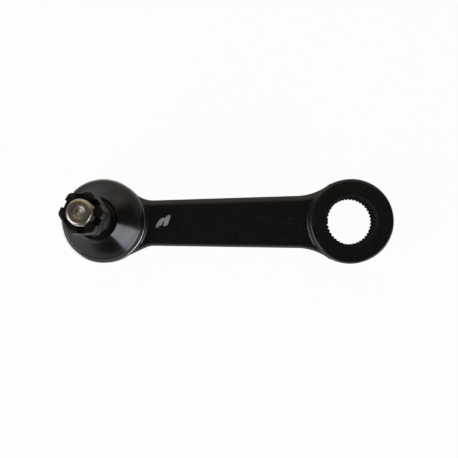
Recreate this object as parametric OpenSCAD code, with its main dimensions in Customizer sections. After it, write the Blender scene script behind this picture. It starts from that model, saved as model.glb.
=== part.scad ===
// Pitman arm: a steering arm forged in one piece with a serrated eye at one end and a ball joint at the other.
// Lengths are in millimetres. The origin is the middle of the serrated bore, +Z runs along the bore towards
// the side on which the ball stud stands, and -X points at the ball joint.

/* [Arm] */
// Distance from the serrated bore's axis to the ball housing's axis
arm_length = 156; // [130:1:190]
// Thickness of the shank between its flat faces
shank_thick = 16.5; // [14:0.5:20]
// Width the shank's sides would reach at the ball housing's axis
shank_w_ball = 27.6; // [24:0.2:31]
// Width the shank's sides would reach at the bore's axis
shank_w_eye = 35; // [32:0.2:38]
// Distance of the shank's middle line from the ball housing's axis, towards -Y
shank_shift = 1.2; // [0:0.1:2]
// Rounding of the shank's long edges
shank_edge_r = 3; // [1:0.1:3.5]
// Draft of the forged sides, in degrees
draft = 4; // [1:0.5:7]
// Concave radius in plan between the shank's +Y side and the ball housing
plan_r_ball = 18; // [10:1:30]
// Concave radius in plan between the shank's fuller -Y side and the ball housing
plan_r_fuller = 12; // [8:1:30]
// Concave radius in plan between the shank and the eye
plan_r_eye = 35; // [20:1:50]
// Angle in plan at which the +Y side runs out onto the ball housing
runout_ball = 43; // [36:1:48]
// Angle in plan at which the fuller -Y side runs out onto the ball housing
runout_fuller = 25; // [20:1:40]
// Angle in plan at which both sides run out onto the eye
runout_eye = 41; // [36:1:44]
// Fillet between the shank's flat faces and both raised ends
step_fillet = 2; // [1.5:0.1:4.5]

/* [Eye] */
// Outer diameter of the eye at the parting line
eye_d = 54.1; // [50:0.1:60]
// Thickness of the eye along the bore
eye_thick = 28; // [26:0.5:34]
// Rounding of the eye's rim
eye_edge_r = 1.6; // [0.6:0.1:3]

/* [Serrated bore] */
// Diameter over the serration tips halfway along the bore
tip_d = 29.3; // [27:0.1:31]
// Length over which the bore's diameter grows by 1
taper_ratio = 16; // [12:1:24]
// Angular places for a groove round the bore
groove_places = 40; // [32:2:44]
// Places left blind, so that the arm fits the shaft one way only
blind_places = 1; // [1:1:2]
// Depth of a groove below the tips
groove_depth = 0.9; // [0.6:0.05:1.1]
// Share of the pitch that a groove takes at the tips
groove_share = 0.6; // [0.4:0.05:0.7]
// Chamfer at the bore's mouths, beyond the groove roots
mouth_chamfer = 0.5; // [0.3:0.1:1]

/* [Ball housing] */
// Thickness of the housing's wall round the socket, at the parting line
housing_wall = 8.8; // [8:0.1:12.5]
// Rounding of the housing's rims
housing_edge_r = 2; // [1:0.1:3]
// Height of the housing's shoulder above the ball's centre
shoulder_h = 7.5; // [7:0.1:8]
// Thickness of the wall of the spigot that the boot's foot grips, round the socket
spigot_wall = 3.7; // [3:0.1:4]
// Height of the spigot above the shoulder
spigot_h = 5; // [4.6:0.1:5.4]
// Depth of the groove round the spigot
spigot_groove = 0.9; // [0.5:0.1:1.1]
// Height of the rolled lip that holds the end cover
lip_h = 2.5; // [2.2:0.1:2.8]
// Rounding of the rolled lip's edge
lip_round = 1.1; // [0.8:0.1:1.2]
// Width by which the rolled lip covers the end cover's edge
lip_w = 1.3; // [0.8:0.1:1.8]

/* [Ball joint] */
// Diameter of the ball
ball_d = 28; // [27:0.1:28.6]
// Lean of the stud away from the housing's axis at rest, in degrees
stud_lean = 8.6; // [0:0.1:15]
// Direction of that lean, anticlockwise from +X, in degrees
lean_dir = 159; // [0:1:359]
// Furthest lean of the stud in any direction, in degrees
max_lean = 20; // [15:0.5:21]
// Thickness of the seats beside the ball
seat_wall = 3.5; // [3:0.1:4]
// Running clearance round the ball
ball_fit = 0.04; // [0.02:0.01:0.08]
// Radial clearance of the lower seat in the socket
seat_fit = 0.05; // [0.02:0.01:0.1]
// Height of the upper seat's top above the ball's centre
upper_seat_top = 9.3; // [9:0.1:9.6]
// Distance of each seat's inner edge from the ball's equator
seat_gap = 0.6; // [0.3:0.1:1.5]
// Height of the lower seat's flat underside above the foot of a full ball
seat_rise = 0.5; // [0.3:0.1:0.9]
// Diameter of the hole in the lower seat
lower_seat_hole_d = 16; // [12:0.5:18]
// Thickness of the disc spring
spring_t = 1.2; // [0.8:0.1:1.4]
// Height of the disc spring as fitted
spring_h = 3; // [2.4:0.1:3.4]
// Inner diameter of the disc spring
spring_id = 18; // [17:0.5:22]
// Thickness of the end cover
cover_t = 2.4; // [1.8:0.1:2.8]
// Width of the seat that the end cover's edge rests on
cover_seat_w = 1.9; // [1.5:0.1:2.1]
// Depth of the dish pressed into the end cover
cover_dish = 0.9; // [0.4:0.1:1.2]

/* [Stud] */
// Diameter of the neck above the ball
neck_d = 15.5; // [14:0.1:15.8]
// Distance from the ball's centre at which the neck starts to widen
neck_end = 16.5; // [15.5:0.1:17]
// Diameter of the taper's large end, where the boot's neck seals
taper_d = 19; // [18.6:0.1:19.6]
// Distance from the ball's centre to the start of the taper
taper_start = 24.5; // [24:0.1:28]
// Length of the taper
taper_len = 20.6; // [18:0.1:26]
// Length over which the stud's taper loses 1 of diameter
stud_taper_ratio = 10; // [9.5:0.5:16]
// Thread diameter
thread_d = 16; // [15:0.5:16]
// Length by which the stud stands out of the nut
stud_end_out = 4.6; // [2:0.1:8]
// Rounding of the stud's end
stud_end_r = 1.6; // [0.8:0.1:2.4]
// Diameter of the centre drilling in the stud's end
centre_drill_d = 6.4; // [4:0.1:8]
// Diameter of the split pin's hole
pin_hole_d = 4; // [3:0.1:4.2]

/* [Slotted nut] */
// Distance across the nut's flats
nut_af = 24; // [23:0.5:27]
// Height of the nut
nut_h = 19; // [17:0.5:22]
// Height from the nut's base to the bottom of its slots
slot_floor = 13; // [10:0.5:14]
// Width of a slot
slot_w = 4.5; // [4.3:0.1:5]
// Angle of the first corner round the stud, in degrees
nut_turn = 2; // [0:1:59]
// Clearance between the nut and the stud's plain thread
thread_fit = 0.05; // [0.02:0.01:0.1]

/* [Dust boot] */
// Width of the boot's foot outside the spigot
boot_foot_w = 4.1; // [3.6:0.1:4.3]
// Diameter of the boot's flat top
boot_top_d = 28; // [27.4:0.1:30]
// Height of the boot's flat top above the ball's centre
boot_top_h = 24; // [23.8:0.1:24.4]
// Thickness of the boot's wall
boot_wall = 1.5; // [1:0.1:1.6]
// Thickness of the sealing lip above the neck ring
neck_lip_h = 3; // [2.4:0.1:3.4]
// Clearance of the rubber from what it grips
boot_fit = 0.1; // [0.06:0.01:0.15]
// Wire diameter of the clamp ring round the boot's foot
clamp_wire = 1.8; // [1.2:0.1:2]
// Thickness of the neck ring
neck_ring_t = 1.5; // [1:0.1:1.8]
// Width of the neck ring's section
neck_ring_w = 2.6; // [1.8:0.1:2.8]

/* [Hidden] */
$fn = 96;

// How far a cutting solid runs past the face that it opens
past = 1;
// Steps in a rounded edge, in a plan fillet and round the boot
edge_steps = 5;
fillet_steps = 12;
boot_sides = 64;
// How far the plan fillets dive below the raised ends' sides, so that they cross at a clear angle
dive = 0.4;

eye_r = eye_d / 2;
underside_z = -eye_thick / 2;
half_shank = shank_thick / 2;

// The ball sets the socket, and the socket sets the spigot, the housing and the boot's foot
ball_r = ball_d / 2;
cavity_r = ball_r + ball_fit;
socket_r = ball_r + seat_wall;
housing_r = socket_r + housing_wall;
spigot_r = socket_r + spigot_wall;
cover_r = socket_r + cover_seat_w;
boot_foot_r = spigot_r + boot_foot_w;

// Heights from the ball's centre down through seat, spring, end cover and rolled lip, which stand on the underside
lower_seat_depth = ball_r - seat_rise;
cover_top_h = -lower_seat_depth - spring_h;
lip_top_h = cover_top_h - cover_t - boot_fit;
lip_bottom_h = lip_top_h - lip_h;
ball_z = underside_z - lip_bottom_h;
shoulder_z = ball_z + shoulder_h;
spigot_top_h = shoulder_h + spigot_h;

// Clearance cone round the neck: its radius at a height when the stud leans as far as it goes
function neck_room(h) = neck_d / 2 / cos(max_lean) + h * tan(max_lean);

// Stud lengths measured from the ball's centre
taper_end = taper_start + taper_len;
taper_small_d = taper_d - taper_len / stud_taper_ratio;
nut_base = taper_end + 0.2;
stud_end = nut_base + nut_h + stud_end_out;

function arc(centre, r, from, to, steps) =
  [for (i = [0:steps]) let (a = from + (to - from) * i / steps) centre + r * [cos(a), sin(a)]];

function turned(p, a) = [p.x * cos(a) - p.y * sin(a), p.x * sin(a) + p.y * cos(a)];

// Plan of the shank. Each side is straight, and at each end a concave arc turns it into a flank that runs out
// onto the raised end, just below its surface. An inset moves the whole side inwards, for the draft and the
// rounded edge.
ball_at = [-arm_length, 0];
half_upper = shank_w_ball / 2 - shank_shift;
half_lower = shank_w_ball / 2 + shank_shift;

function heading(a) = [cos(a), sin(a)];

// Centre of a fillet of radius r between a flank that faces a, at a distance from the raised end's centre,
// and the straight side that faces b and passes the same centre at its own distance
function fillet_centre(centre, r, a, flank_off, b, side_off) =
  let (p = flank_off + r, q = side_off + r, d = sin(b - a))
  centre + [p * sin(b) - q * sin(a), q * cos(a) - p * cos(b)] / d;

function shank_side(inset, half_ball, r_ball, run_ball) =
  let (
    slope = atan((shank_w_eye / 2 - half_ball) / arm_length),
    side_a = 90 + slope,
    ball_a = 90 - run_ball,
    eye_a = 90 + runout_eye,
    ball_flank = housing_r - dive,
    eye_flank = eye_r - dive,
    ball_c = fillet_centre(ball_at, r_ball, ball_a, ball_flank, side_a, half_ball * cos(slope)),
    eye_c = fillet_centre([0, 0], plan_r_eye, eye_a, eye_flank, side_a, shank_w_eye / 2 * cos(slope))
  )
  concat(
    [ball_at + (ball_flank - inset) * heading(ball_a)],
    arc(ball_c, r_ball + inset, ball_a - 180, side_a - 180, fillet_steps),
    arc(eye_c, plan_r_eye + inset, side_a - 180, eye_a - 180, fillet_steps),
    [(eye_flank - inset) * heading(eye_a)]
  );

function mirrored(points) = [for (i = [len(points) - 1:-1:0]) [points[i].x, -points[i].y]];

function shank_plan(inset) = concat(
  shank_side(inset, half_upper, plan_r_ball, runout_ball),
  mirrored(shank_side(inset, half_lower, plan_r_fuller, runout_fuller))
);

// Section of the shank's side from the lower face to the upper one: how far inwards it is at each height
function side_section() =
  let (
    slant = (half_shank - shank_edge_r) * tan(draft),
    corner = arc([slant + shank_edge_r, half_shank - shank_edge_r], shank_edge_r, 180, 90, edge_steps)
  )
  concat([for (i = [edge_steps:-1:0]) [corner[i].x, -corner[i].y]], [[0, 0]], corner);

flat_inset = (half_shank - shank_edge_r) * tan(draft) + shank_edge_r;

module shank() {
  section = side_section();
  rings = [for (s = section) shank_plan(s[0])];
  n = len(rings[0]);
  last = len(section) - 1;
  points = [for (k = [0:last], p = rings[k]) [p.x, p.y, section[k][1]]];
  walls = [for (k = [0:last - 1], i = [0:n - 1])
    let (j = (i + 1) % n) [k * n + i, k * n + j, (k + 1) * n + j, (k + 1) * n + i]];
  lower_face = [for (i = [0:n / 2 - 2]) [n - 1 - i, n - 2 - i, i + 1, i]];
  upper_face = [for (i = [0:n / 2 - 2]) [for (v = [i, i + 1, n - 2 - i, n - 1 - i]) last * n + v]];
  polyhedron(points, concat(walls, lower_face, upper_face), convexity = 4);
}

// Section of a raised end, turned about its axis: drafted sides with rounded rims, from the underside to a top
module raised_end(r, edge_r, bottom, top) {
  low_r = r + bottom * tan(draft / 2);
  high_r = r - top * tan(draft / 2);
  rotate_extrude()
    polygon(concat(
      [[0, bottom]],
      arc([low_r - edge_r, bottom + edge_r], edge_r, -90, 0, edge_steps),
      [[r, 0]],
      arc([high_r - edge_r, top - edge_r], edge_r, 0, 90, edge_steps),
      [[0, top]]
    ));
}

// Fillet ring between a raised end and one flat face of the shank
module step_ring(r) {
  rotate_extrude()
    polygon(concat(
      [[r - past, half_shank - past], [r + step_fillet, half_shank - past]],
      arc([r + step_fillet, half_shank + step_fillet], step_fillet, 270, 180, edge_steps),
      [[r - past, half_shank + step_fillet]]
    ));
}

module step_fillets() {
  intersection() {
    union() {
      for (side = [0, 1]) mirror([0, 0, side]) {
        step_ring(eye_r - step_fillet * tan(draft));
        translate([-arm_length, 0, 0]) step_ring(housing_r - step_fillet * tan(draft));
      }
    }
    linear_extrude(shank_thick + 4 * step_fillet, center = true)
      polygon(shank_plan(flat_inset));
  }
}

// One groove of the bore: a V that runs parallel to the tapered wall
groove_half = groove_share * PI * tip_d / groove_places / 2;
taper_angle = atan(0.5 / taper_ratio);

module groove() {
  inner = groove_depth / 3;
  translate([tip_d / 2, 0, 0])
    rotate([0, taper_angle, 0])
      linear_extrude(eye_thick + 2 * past, center = true)
        polygon([
          [groove_depth, 0],
          [-inner, groove_half * (1 + inner / groove_depth)],
          [-inner, -groove_half * (1 + inner / groove_depth)]
        ]);
}

// The taper is wide at the top and closes towards the underside, where the shaft's nut pulls it tight
function bore_r(z) = tip_d / 2 + z * tan(taper_angle);

module serrated_bore() {
  half = eye_thick / 2;
  translate([0, 0, -half - past])
    cylinder(h = eye_thick + 2 * past, r1 = bore_r(-half - past), r2 = bore_r(half + past));
  blind_from = round(groove_places / 2);
  for (i = [0:groove_places - 1])
    if (i < blind_from || i >= blind_from + blind_places)
      rotate([0, 0, i * 360 / groove_places]) groove();
  for (side = [-1, 1]) {
    mouth = bore_r(side * half) + groove_depth + mouth_chamfer;
    mirror([0, 0, side < 0 ? 1 : 0])
      translate([0, 0, half - mouth_chamfer - groove_depth])
        cylinder(h = mouth_chamfer + groove_depth + past, r1 = mouth - mouth_chamfer - groove_depth, r2 = mouth + past);
  }
}

// Hollow of the ball housing, turned about the housing's axis, with heights from the ball's centre
module socket() {
  rotate_extrude()
    polygon(concat(
      [[0, lip_bottom_h - past], [cover_r + boot_fit, lip_bottom_h - past]],
      [[cover_r + boot_fit - lip_w + lip_round, lip_bottom_h - past]],
      [[cover_r + boot_fit - lip_w + lip_round, lip_bottom_h]],
      arc([cover_r + boot_fit - lip_w + lip_round, lip_bottom_h + lip_round], lip_round, 270, 180, edge_steps),
      [[cover_r + boot_fit - lip_w, lip_top_h], [cover_r + boot_fit, lip_top_h], [cover_r + boot_fit, cover_top_h]],
      [[socket_r, cover_top_h], [socket_r, upper_seat_top]],
      [[mouth_r(upper_seat_top), upper_seat_top], [mouth_r(spigot_top_h), spigot_top_h]],
      [[mouth_r(spigot_top_h) + past * tan(max_lean), spigot_top_h + past], [0, spigot_top_h + past]]
    ));
}

// The housing's mouth leaves room for the neck at full lean
function mouth_r(h) = neck_room(h) + 1;

// The boot's foot seats round this spigot, and its bead snaps into the spigot's groove
bead_low = shoulder_h + 1.2;
bead_high = bead_low + 2.1;
spigot_chamfer = 1;

module spigot() {
  rotate_extrude()
    polygon([
      [0, shoulder_h - past], [spigot_r, shoulder_h - past],
      [spigot_r, bead_low], [spigot_r - spigot_groove, bead_low],
      [spigot_r - spigot_groove, bead_high], [spigot_r, bead_high],
      [spigot_r, spigot_top_h - spigot_chamfer], [spigot_r - spigot_chamfer, spigot_top_h], [0, spigot_top_h]
    ]);
}

module at_ball() {
  translate([-arm_length, 0, ball_z]) children();
}

module on_stud() {
  at_ball() rotate([0, 0, lean_dir]) rotate([0, stud_lean, 0]) rotate([0, 0, -lean_dir]) children();
}

module arm() {
  color("#1c1b1a")
    difference() {
      union() {
        shank();
        raised_end(eye_r, eye_edge_r, underside_z, eye_thick / 2);
        translate([-arm_length, 0, 0]) raised_end(housing_r, housing_edge_r, underside_z, shoulder_z);
        at_ball() spigot();
        step_fillets();
      }
      serrated_bore();
      at_ball() socket();
    }
}

// Ball, neck, sealing land, taper, thread and rounded end with its centre drilling
module ball_stud() {
  flat_h = -ball_r + 1;
  land_start = taper_start - 5;
  thread_r = thread_d / 2;
  drill_r = centre_drill_d / 2;
  color("#b9b3aa")
    on_stud()
      difference() {
        union() {
          sphere(r = ball_r);
          rotate_extrude()
            polygon(concat(
              [[0, 0], [neck_d / 2, 0], [neck_d / 2, neck_end]],
              [[taper_d / 2, land_start], [taper_d / 2, taper_start], [taper_small_d / 2, taper_end]],
              [[thread_r, taper_end + 0.1]],
              arc([thread_r - stud_end_r, stud_end - stud_end_r], stud_end_r, 0, 90, edge_steps),
              [[drill_r + 0.6, stud_end], [drill_r, stud_end - 0.35], [0, stud_end - 0.35 - drill_r / tan(30) * 0.8]]
            ));
        }
        translate([0, 0, flat_h - ball_r]) cylinder(h = ball_r, r = ball_r);
        translate([0, 0, nut_base + slot_floor + pin_hole_d / 2 + 0.4])
          rotate([0, 0, nut_turn + 30])
            rotate([0, 90, 0]) cylinder(h = taper_d + 2 * past, d = pin_hole_d, center = true);
      }
}

// Hexagon with its corners chamfered by cones at both ends, and six slots across the middles of the flats
module slotted_nut() {
  corner_r = nut_af / 2 / cos(30);
  bevel = (corner_r - nut_af / 2 * 0.95) * tan(30);
  base_bevel = 0.4;
  color("#3a3530")
    on_stud()
      translate([0, 0, nut_base])
        rotate([0, 0, nut_turn])
          difference() {
            intersection() {
              cylinder(h = nut_h, r = corner_r, $fn = 6);
              rotate_extrude()
                polygon([
                  [0, 0], [corner_r - base_bevel / tan(30), 0], [corner_r, base_bevel],
                  [corner_r, nut_h - bevel], [nut_af / 2 * 0.95, nut_h], [0, nut_h]
                ]);
            }
            translate([0, 0, -past]) cylinder(h = nut_h + 2 * past, r = thread_d / 2 + thread_fit);
            for (a = [30:60:330])
              rotate([0, 0, a])
                translate([thread_d / 4, -slot_w / 2, slot_floor])
                  cube([corner_r, slot_w, nut_h]);
          }
}

// The boot is a loft: its foot is round about the housing, its neck is round about the leaning stud, and each
// ring of points between them lies on straight lines from the one to the other.
function stud_point(p) =
  let (
    q = turned([p.x, p.y], -lean_dir),
    leaned = [q.x * cos(stud_lean) + p.z * sin(stud_lean), q.y, p.z * cos(stud_lean) - q.x * sin(stud_lean)],
    back = turned([leaned.x, leaned.y], lean_dir)
  )
  [back.x, back.y, leaned.z];

function boot_point(foot, top, share, a) =
  (1 - share) * [foot[0] * cos(a), foot[0] * sin(a), foot[1]]
  + share * stud_point([top[0] * cos(a), top[0] * sin(a), top[1]]);

foot_ring_r = boot_foot_r - clamp_wire / 2 + 0.55;
foot_ring_h = shoulder_h + clamp_wire / 2 + 0.5;
neck_ring_r = taper_d / 2 + 0.7;
neck_ring_top = boot_top_h - neck_lip_h;

module dust_boot() {
  bottom = shoulder_h + boot_fit / 2;
  foot_out = [boot_foot_r, foot_ring_h + clamp_wire / 2 + 0.4];
  top_r = boot_top_d / 2;
  top_out = [top_r, boot_top_h - 0.8];
  slope = (foot_out - top_out) / norm(foot_out - top_out);
  inward = [slope.y, -slope.x] * boot_wall;
  spigot_in = spigot_r + boot_fit;
  bead_r = spigot_r - spigot_groove + boot_fit;
  bead_slant = 0.3;
  wall_foot = [spigot_in, spigot_top_h - spigot_chamfer];
  pocket_r = neck_ring_r + neck_ring_w + boot_fit / 2;
  pocket_foot = neck_ring_top - neck_ring_t + 0.4;
  wall_top = [top_out.x + inward.x + (top_out.y + inward.y - pocket_foot) / -slope.y * slope.x, pocket_foot];
  groove_arc = arc([foot_ring_r, foot_ring_h], clamp_wire / 2 + boot_fit / 2, 250, 110, edge_steps);
  feet = concat(
    [[spigot_in, bottom], [boot_foot_r - 0.6, bottom]], groove_arc, [foot_out]
  );
  tops = [
    top_out, [top_r - 0.25, boot_top_h - 0.25], [top_r - 0.9, boot_top_h],
    [taper_d / 2 + boot_fit, boot_top_h], [taper_d / 2 + boot_fit, neck_ring_top + boot_fit / 2],
    [pocket_r, neck_ring_top + boot_fit / 2], [pocket_r, pocket_foot], wall_top
  ];
  inner_feet = [
    wall_foot, [spigot_in, bead_high - boot_fit], [bead_r, bead_high - boot_fit - bead_slant],
    [bead_r, bead_low + boot_fit + bead_slant], [spigot_in, bead_low + boot_fit]
  ];
  wall_shares = [0.25, 0.5, 0.75];
  rings = concat(
    [for (f = feet) [f, f, 0]],
    [for (s = wall_shares) [foot_out, top_out, s]],
    [for (t = tops) [t, t, 1]],
    [for (s = wall_shares) [wall_foot, wall_top, 1 - s]],
    [for (f = inner_feet) [f, f, 0]]
  );
  n = boot_sides;
  m = len(rings);
  points = [for (g = rings, j = [0:n - 1]) boot_point(g[0], g[1], g[2], j * 360 / n)];
  faces = [for (i = [0:m - 1], j = [0:n - 1])
    let (next = (i + 1) % m, k = (j + 1) % n) [i * n + j, next * n + j, next * n + k, i * n + k]];
  color("#262524") at_ball() polyhedron(points, faces, convexity = 6);
}

module boot_clamp_ring() {
  color("#4a4846")
    at_ball() translate([0, 0, foot_ring_h]) rotate_extrude() translate([foot_ring_r, 0]) circle(d = clamp_wire);
}

module boot_neck_ring() {
  color("#8d8a86")
    on_stud()
      translate([0, 0, neck_ring_top - neck_ring_t])
        rotate_extrude() translate([neck_ring_r, 0]) square([neck_ring_w, neck_ring_t]);
}

// Height at which the neck's clearance cone, widened by a margin, leaves the ball's cavity
function flare_start(margin) =
  let (a = neck_room(0) + margin, t = tan(max_lean))
  (sqrt(pow(cavity_r, 2) * (1 + t * t) - a * a) - a * t) / (1 + t * t);

module upper_seat() {
  margin = 0.3;
  low = flare_start(margin);
  high = upper_seat_top + past;
  color("#c8b48a")
    at_ball()
      difference() {
        translate([0, 0, seat_gap]) cylinder(h = upper_seat_top - seat_gap, r = socket_r);
        sphere(r = cavity_r);
        translate([0, 0, low])
          cylinder(h = high - low, r1 = neck_room(low) + margin, r2 = neck_room(high) + margin);
      }
}

module lower_seat() {
  color("#c8b48a")
    at_ball()
      difference() {
        translate([0, 0, -lower_seat_depth]) cylinder(h = lower_seat_depth - seat_gap, r = socket_r - seat_fit);
        sphere(r = cavity_r);
        translate([0, 0, -lower_seat_depth - past]) cylinder(h = lower_seat_depth, d = lower_seat_hole_d);
      }
}

module preload_spring() {
  outer_r = socket_r - 0.5;
  top = -lower_seat_depth - boot_fit / 2;
  color("#6f6c68")
    at_ball()
      rotate_extrude()
        polygon([
          [spring_id / 2, top], [outer_r, top - spring_h + spring_t + boot_fit],
          [outer_r, top - spring_h + boot_fit], [spring_id / 2, top - spring_t]
        ]);
}

module end_cover() {
  dish_r = socket_r * 0.6;
  ramp = 2;
  foot = cover_top_h - cover_t;
  color("#55524e")
    at_ball()
      rotate_extrude()
        polygon([
          [0, cover_top_h - cover_dish], [dish_r, cover_top_h - cover_dish], [dish_r + ramp, cover_top_h],
          [cover_r, cover_top_h], [cover_r, foot], [dish_r + ramp, foot],
          [dish_r, foot - cover_dish], [0, foot - cover_dish]
        ]);
}

arm();
ball_stud();
slotted_nut();
dust_boot();
boot_clamp_ring();
boot_neck_ring();
upper_seat();
lower_seat();
preload_spring();
end_cover();
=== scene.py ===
"""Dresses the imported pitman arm: a black painted forging with a serrated eye, and a ball joint with its boot and nut.

The classes hold their sizes in millimetres, in the same frame as the CAD: the origin is the middle of the serrated
bore, +Z points to the side on which the stud stands, and -X points at the ball joint.
"""

import itertools
import logging
import math
from collections.abc import Callable, Iterator
from contextlib import contextmanager
from dataclasses import dataclass
from enum import Enum

import bmesh
import bpy
from mathutils import Matrix, Vector


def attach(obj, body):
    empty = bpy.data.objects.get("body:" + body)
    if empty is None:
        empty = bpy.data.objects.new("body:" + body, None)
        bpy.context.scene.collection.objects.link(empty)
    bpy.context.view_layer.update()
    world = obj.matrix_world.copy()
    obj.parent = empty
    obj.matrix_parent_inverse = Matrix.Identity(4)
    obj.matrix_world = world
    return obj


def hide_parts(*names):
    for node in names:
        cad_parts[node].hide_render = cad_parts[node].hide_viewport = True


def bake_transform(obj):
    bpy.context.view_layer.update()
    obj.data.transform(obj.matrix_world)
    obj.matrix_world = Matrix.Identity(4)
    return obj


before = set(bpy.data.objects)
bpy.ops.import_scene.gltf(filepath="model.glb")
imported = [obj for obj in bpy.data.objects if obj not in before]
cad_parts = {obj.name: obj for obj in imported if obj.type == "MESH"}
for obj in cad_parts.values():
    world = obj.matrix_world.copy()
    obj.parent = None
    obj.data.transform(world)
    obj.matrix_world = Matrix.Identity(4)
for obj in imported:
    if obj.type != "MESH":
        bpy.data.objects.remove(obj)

MM = 0.001
log = logging.getLogger("pitman_arm")

Profile = list[tuple[float, float]]
Obj = bpy.types.Object


class Body(Enum):
    """The moving bodies of the joint, by their names."""

    ARM = "arm"
    SEAT = "ball_seat"
    NECK = "boot_neck"
    STUD = "stud"


class Cut(Enum):
    """What a second solid does to the first."""

    WELD = "UNION"
    REMOVE = "DIFFERENCE"
    KEEP_COMMON = "INTERSECT"


def deselect_all() -> None:
    """Leaves nothing selected, so that an operator acts only on what is picked next."""
    if bpy.context.object and bpy.context.object.mode != "OBJECT":
        bpy.ops.object.mode_set(mode="OBJECT")
    bpy.ops.object.select_all(action="DESELECT")


def pick(obj: Obj) -> Obj:
    """Makes one object the selected and active one.

    Args:
        obj: The object to pick.

    Returns:
        The same object.
    """
    deselect_all()
    obj.select_set(True)
    bpy.context.view_layer.objects.active = obj
    return obj


@contextmanager
def editing(obj: Obj) -> Iterator[None]:
    """Edit mode on one object, with the vertex mode on, for as long as the block runs.

    Args:
        obj: The mesh object to edit.

    Yields:
        Nothing; the operators in the block act on the object.
    """
    pick(obj)
    bpy.ops.object.mode_set(mode="EDIT")
    bpy.ops.mesh.select_mode(type="VERT")
    yield
    bpy.ops.object.mode_set(mode="OBJECT")


def select_points(obj: Obj, test: Callable[[Vector], bool]) -> None:
    """Selects the vertices of the object in edit mode that pass a test on their place.

    Args:
        obj: The object in edit mode.
        test: Takes a vertex's place in millimetres and says whether it is selected.
    """
    mesh = bmesh.from_edit_mesh(obj.data)
    for vertex in mesh.verts:
        vertex.select = test(vertex.co / MM)
    mesh.select_flush_mode()
    bmesh.update_edit_mesh(obj.data)


def begin(name: str) -> Obj:
    """Names the primitive that was just added and moves its place into its mesh.

    Args:
        name: The piece's name.

    Returns:
        The new object, at the origin, unturned and unscaled.
    """
    obj = bpy.context.active_object
    obj.name = name
    obj.data.name = name
    pick(obj)
    bpy.ops.object.transform_apply(location=True, rotation=True, scale=True)
    return obj


def place(obj: Obj, where: Matrix) -> Obj:
    """Moves a piece and keeps the move in its mesh.

    Args:
        obj: The piece, with its object at the origin.
        where: The move, in metres.

    Returns:
        The same object.
    """
    pick(obj)
    obj.matrix_world = where
    bpy.ops.object.transform_apply(location=True, rotation=True, scale=True)
    return obj


def modify(obj: Obj, kind: str, **settings: object) -> Obj:
    """Adds a modifier with its settings and applies it.

    Args:
        obj: The object to change.
        kind: The modifier's type.
        **settings: The modifier's properties.

    Returns:
        The same object.
    """
    pick(obj)
    modifier = obj.modifiers.new(kind.lower(), kind)
    for key, value in settings.items():
        setattr(modifier, key, value)
    bpy.ops.object.modifier_apply(modifier=modifier.name)
    return obj


def combine(obj: Obj, other: Obj, cut: Cut) -> Obj:
    """Welds, removes or intersects a second solid, which is then gone.

    Args:
        obj: The solid that stays.
        other: The solid that is used up.
        cut: What it does to the first.

    Returns:
        The first object.
    """
    modify(obj, "BOOLEAN", operation=cut.value, solver="EXACT", object=other)
    bpy.data.objects.remove(other)
    return obj


def join(parts: list[Obj]) -> Obj:
    """Joins several objects into the first one, as separate shells of one mesh.

    Args:
        parts: The objects, of which the first stays.

    Returns:
        The first object.
    """
    deselect_all()
    for part in parts:
        part.select_set(True)
    bpy.context.view_layer.objects.active = parts[0]
    bpy.ops.object.join()
    return parts[0]


def smooth(obj: Obj, degrees: float = 35.0) -> Obj:
    """Shades smooth, apart from edges sharper than an angle.

    Args:
        obj: The object to shade.
        degrees: The angle above which an edge stays crisp.

    Returns:
        The same object.
    """
    pick(obj)
    bpy.ops.object.shade_smooth_by_angle(angle=math.radians(degrees))
    return obj


def arc(centre: tuple[float, float], radius: float, start: float, stop: float, steps: int = 6) -> Profile:
    """Points on an arc of a profile.

    Args:
        centre: The arc's centre.
        radius: Its radius.
        start: Angle of the first point, in degrees.
        stop: Angle of the last point, in degrees.
        steps: Number of steps between them.

    Returns:
        The points, with both ends.
    """
    angles = [math.radians(start + (stop - start) * i / steps) for i in range(steps + 1)]
    return [(centre[0] + radius * math.cos(a), centre[1] + radius * math.sin(a)) for a in angles]


def turn_profile(name: str, profile: Profile, steps: int = 96, ring: bool = False) -> Obj:
    """Turns a piece on Z: one vertex is extruded along the profile, and the line is spun.

    Args:
        name: The piece's name.
        profile: Radius and height of each point, in millimetres.
        steps: Number of steps round the axis.
        ring: Whether the profile closes on itself, away from the axis.

    Returns:
        The closed solid, with its faces outwards.
    """
    deselect_all()
    first = profile[0]
    bpy.ops.mesh.primitive_plane_add(size=MM, location=(first[0] * MM, 0, first[1] * MM))
    piece = begin(name)
    with editing(piece):
        bpy.ops.mesh.select_all(action="SELECT")
        bpy.ops.mesh.merge(type="CENTER")
        for here, there in zip(profile, profile[1:]):
            step = ((there[0] - here[0]) * MM, 0, (there[1] - here[1]) * MM)
            bpy.ops.mesh.extrude_region_move(TRANSFORM_OT_translate={"value": step})
        if ring:
            ends = (first, profile[-1])
            select_points(piece, lambda p: any(math.hypot(p.x - e[0], p.z - e[1]) < 1e-4 for e in ends))
            bpy.ops.mesh.edge_face_add()
        bpy.ops.mesh.select_all(action="SELECT")
        bpy.ops.mesh.spin(steps=steps, angle=2 * math.pi, center=(0, 0, 0), axis=(0, 0, 1))
        bpy.ops.mesh.select_all(action="SELECT")
        bpy.ops.mesh.remove_doubles(threshold=1e-6)
        bpy.ops.mesh.normals_make_consistent(inside=False)
    return piece


def drill(name: str, radius: float, bottom: float, top: float, top_radius: float | None = None) -> Obj:
    """A plain or tapered plug on the Z axis, to be removed from another piece.

    Args:
        name: The plug's name.
        radius: Its radius at the bottom, in millimetres.
        bottom: Height of its lower end.
        top: Height of its upper end.
        top_radius: Its radius at the top, if that differs.

    Returns:
        The plug.
    """
    upper = radius if top_radius is None else top_radius
    return turn_profile(name, [(0, bottom), (radius, bottom), (upper, top), (0, top)])


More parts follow.
